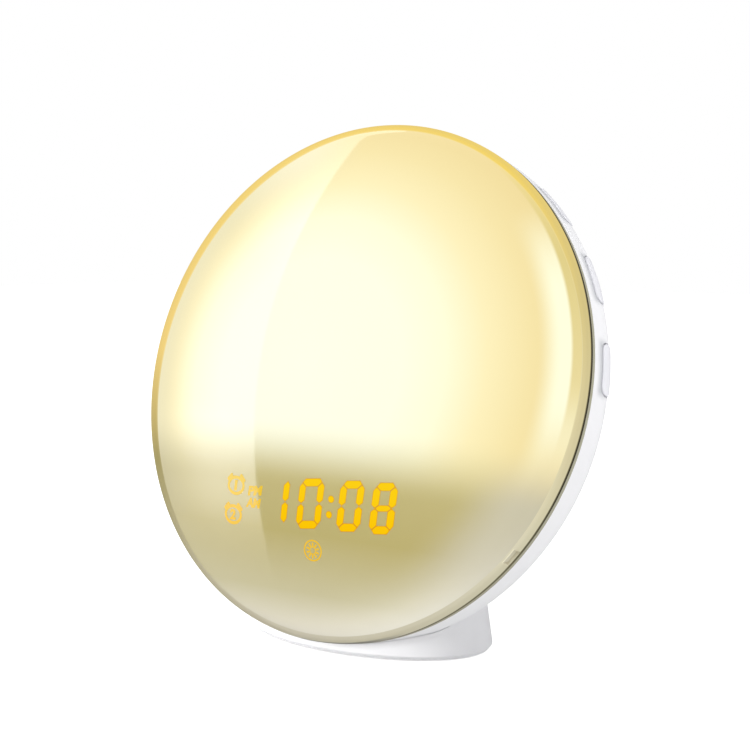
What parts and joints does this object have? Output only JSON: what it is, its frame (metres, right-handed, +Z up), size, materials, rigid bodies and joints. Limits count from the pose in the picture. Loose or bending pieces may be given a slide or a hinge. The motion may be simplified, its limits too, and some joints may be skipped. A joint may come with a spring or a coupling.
{
  "type": "sunrise alarm clock",
  "caption": "Round sunrise alarm clock: a glowing domed disc with an amber time display leans back on an oval foot, with push buttons round its rim.",
  "frame": {"origin": "middle of the oval foot's rubber ring, on the table", "axes": "+Z up, the lit dome faces -Y, +X to the right of someone who looks at the display"},
  "size_m": [0.1704, 0.0978, 0.1686],
  "materials": {
    "dome_diffuser": "glossy translucent polycarbonate",
    "seal_rubber": "matt",
    "trim_plastic": "satin",
    "housing_plastic": "satin moulded ABS",
    "base_plastic": "fine moulded grain",
    "pad_rubber": "matt",
    "screw_steel": "zinc plated",
    "reflector_plastic": "matt white",
    "light_board": "white solder mask",
    "warm_led": "phosphor window",
    "colour_led": "clear window",
    "display_black": "matt face",
    "lit_amber": "lit amber window",
    "control_board": "green solder mask",
    "ribbon_plastic": "flat cable",
    "chip_black": "moulded epoxy",
    "capacitor_can": "printed sleeve",
    "wire_plastic": "PVC insulation",
    "contact_metal": "nickel plated",
    "magnet_ferrite": "sintered ferrite",
    "cone_paper": "pressed paper",
    "cell_steel": "bright",
    "button_plastic": "satin moulded ABS",
    "switch_plastic": "nylon"
  },
  "bodies": {
    "case": {"base_plate": "base_plastic", "base_screws": "screw_steel", "board_screws": "screw_steel", "capacitors": "capacitor_can", "cell_contacts": "contact_metal", "cell_holder": "reflector_plastic", "coin_cell": "cell_steel", "colour_leds": "colour_led", "display_board": "control_board", "display_digits": "lit_amber", "display_icons": "lit_amber", "display_module": "display_black", "display_ribbon": "ribbon_plastic", "display_tray": "reflector_plastic", "dome": "dome_diffuser", "dome_gasket": "seal_rubber", "foot": "housing_plastic", "foot_pad": "pad_rubber", "foot_screws": "screw_steel", "front_frame": "trim_plastic", "housing_screws": "screw_steel", "inlet_board": "control_board", "inlet_shell": "contact_metal", "inlet_tongue": "chip_black", "led_board": "light_board", "led_leads": "wire_plastic", "led_screws": "screw_steel", "light_divider": "reflector_plastic", "main_board": "control_board", "main_chips": "chip_black", "rear_housing": "housing_plastic", "reflector": "reflector_plastic", "speaker_basket": "screw_steel", "speaker_cone": "cone_paper", "speaker_leads": "wire_plastic", "speaker_magnet": "magnet_ferrite", "speaker_screws": "screw_steel", "switch_board_left": "control_board", "switch_board_right": "control_board", "switch_board_top": "control_board", "switch_bodies": "chip_black", "warm_leds": "warm_led"},
    "battery_door": {"battery_door": "housing_plastic"},
    "button_right_low": {"button_right_low": "button_plastic", "plunger_right_low": "switch_plastic"},
    "button_right_mid": {"button_right_mid": "button_plastic", "plunger_right_mid": "switch_plastic"},
    "button_right_high": {"button_right_high": "button_plastic", "plunger_right_high": "switch_plastic"},
    "button_left_low": {"button_left_low": "button_plastic", "plunger_left_low": "switch_plastic"},
    "button_left_mid": {"button_left_mid": "button_plastic", "plunger_left_mid": "switch_plastic"},
    "button_left_high": {"button_left_high": "button_plastic", "plunger_left_high": "switch_plastic"},
    "snooze_button": {"snooze_button": "button_plastic", "plunger_snooze": "switch_plastic"}
  },
  "joints": [
    {"name": "press_right_low", "type": "slide", "parent": "case", "child": "button_right_low", "axis": [-0.9936, -0.0293, -0.1093], "range_m": [0, 0.0006], "stiffness_N_per_m": 400, "springref_m": -0.0015},
    {"name": "press_right_mid", "type": "slide", "parent": "case", "child": "button_right_mid", "axis": [-0.8988, -0.1135, -0.4234], "range_m": [0, 0.0006], "stiffness_N_per_m": 400, "springref_m": -0.0015},
    {"name": "press_right_high", "type": "slide", "parent": "case", "child": "button_right_high", "axis": [-0.7009, -0.1846, -0.6889], "range_m": [0, 0.0006], "stiffness_N_per_m": 400, "springref_m": -0.0015},
    {"name": "press_left_low", "type": "slide", "parent": "case", "child": "button_left_low", "axis": [0.9936, -0.0293, -0.1093], "range_m": [0, 0.0006], "stiffness_N_per_m": 400, "springref_m": -0.0015},
    {"name": "press_left_mid", "type": "slide", "parent": "case", "child": "button_left_mid", "axis": [0.8988, -0.1135, -0.4234], "range_m": [0, 0.0006], "stiffness_N_per_m": 400, "springref_m": -0.0015},
    {"name": "press_left_high", "type": "slide", "parent": "case", "child": "button_left_high", "axis": [0.7009, -0.1846, -0.6889], "range_m": [0, 0.0006], "stiffness_N_per_m": 400, "springref_m": -0.0015},
    {"name": "press_snooze", "type": "slide", "parent": "case", "child": "snooze_button", "axis": [0, -0.2588, -0.9659], "range_m": [0, 0.0006], "stiffness_N_per_m": 400, "springref_m": -0.0015},
    {"name": "battery_door_lift", "type": "slide", "parent": "case", "child": "battery_door", "axis": [0, 0.9659, -0.2588], "range_m": [0, 0.015]}
  ]
}
